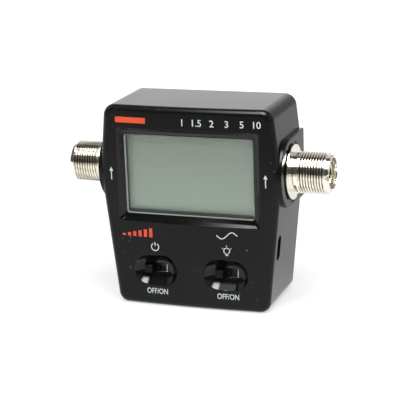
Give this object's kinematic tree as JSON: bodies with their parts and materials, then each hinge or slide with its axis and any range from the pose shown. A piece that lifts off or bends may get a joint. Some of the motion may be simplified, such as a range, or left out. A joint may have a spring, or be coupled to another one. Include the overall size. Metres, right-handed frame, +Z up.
{
  "type": "swr meter",
  "caption": "Handheld digital SWR meter with a sunk display window, slide switches in finger bowls and a threaded coaxial socket on each side.",
  "frame": {"origin": "middle of the object's footprint at the flat foot of the housing", "axes": "+X from the left socket to the right socket seen from the front, the display faces -Y, +Z up"},
  "size_m": [0.1044, 0.0336, 0.0787],
  "materials": {
    "black_abs": "fine matt moulded texture",
    "gloss_black": "smooth",
    "black_moulding": "matt",
    "clear_acrylic": "polished",
    "display_glass": "grey green reflective display",
    "milky_plastic": "satin",
    "lamp_yellow": "smooth",
    "elastomer": "matt",
    "circuit_board": "green solder mask",
    "tin_plate": "tinned",
    "cell_foil": "satin foil",
    "foam": "open foam",
    "white_plastic": "waxy",
    "red_lead": "smooth insulation",
    "brass": "plain",
    "ferrite": "sintered",
    "copper_wire": "enamelled",
    "nickel": "warm bright nickel plate",
    "steel": "zinc plated"
  },
  "bodies": {
    "case": {"front_case": "black_abs", "rear_cover": "black_abs", "case_screw_1": "steel", "case_screw_2": "steel", "case_screw_3": "steel", "case_screw_4": "steel", "window_lens": "clear_acrylic", "lcd_glass": "display_glass", "lcd_frame": "black_moulding", "light_guide": "milky_plastic", "backlight_led_1": "lamp_yellow", "backlight_led_2": "lamp_yellow", "contact_strip": "elastomer", "main_board": "circuit_board", "board_screw_1": "steel", "board_screw_2": "steel", "board_screw_3": "steel", "controller_chip": "black_moulding", "board_chip_1": "black_moulding", "board_chip_2": "black_moulding", "board_chip_3": "black_moulding", "charge_socket_shell": "tin_plate", "charge_socket_tongue": "black_moulding", "battery_cell": "cell_foil", "battery_pad": "foam", "battery_plug": "white_plastic", "battery_lead_1": "red_lead", "battery_lead_2": "red_lead", "coupler_tray": "tin_plate", "coupler_board": "circuit_board", "coupler_screw_1": "steel", "coupler_screw_2": "steel", "board_link": "black_moulding", "through_line": "brass", "ferrite_core_1": "ferrite", "ferrite_core_2": "ferrite", "core_winding_1": "copper_wire", "core_winding_2": "copper_wire", "power_switch_body": "tin_plate", "light_switch_body": "tin_plate", "ant_socket_shell": "nickel", "ant_socket_insulator": "white_plastic", "ant_socket_contact": "brass", "ant_lock_washer": "steel", "ant_socket_nut": "nickel", "tx_socket_shell": "nickel", "tx_socket_insulator": "white_plastic", "tx_socket_contact": "brass", "tx_lock_washer": "steel", "tx_socket_nut": "nickel"},
    "power_knob": {"power_switch_knob": "gloss_black"},
    "light_knob": {"light_switch_knob": "gloss_black"}
  },
  "joints": [
    {"name": "power_switch_slide", "type": "slide", "parent": "case", "child": "power_knob", "axis": [1, 0, 0], "range_m": [0, 0.005]},
    {"name": "light_switch_slide", "type": "slide", "parent": "case", "child": "light_knob", "axis": [1, 0, 0], "range_m": [0, 0.005]}
  ]
}
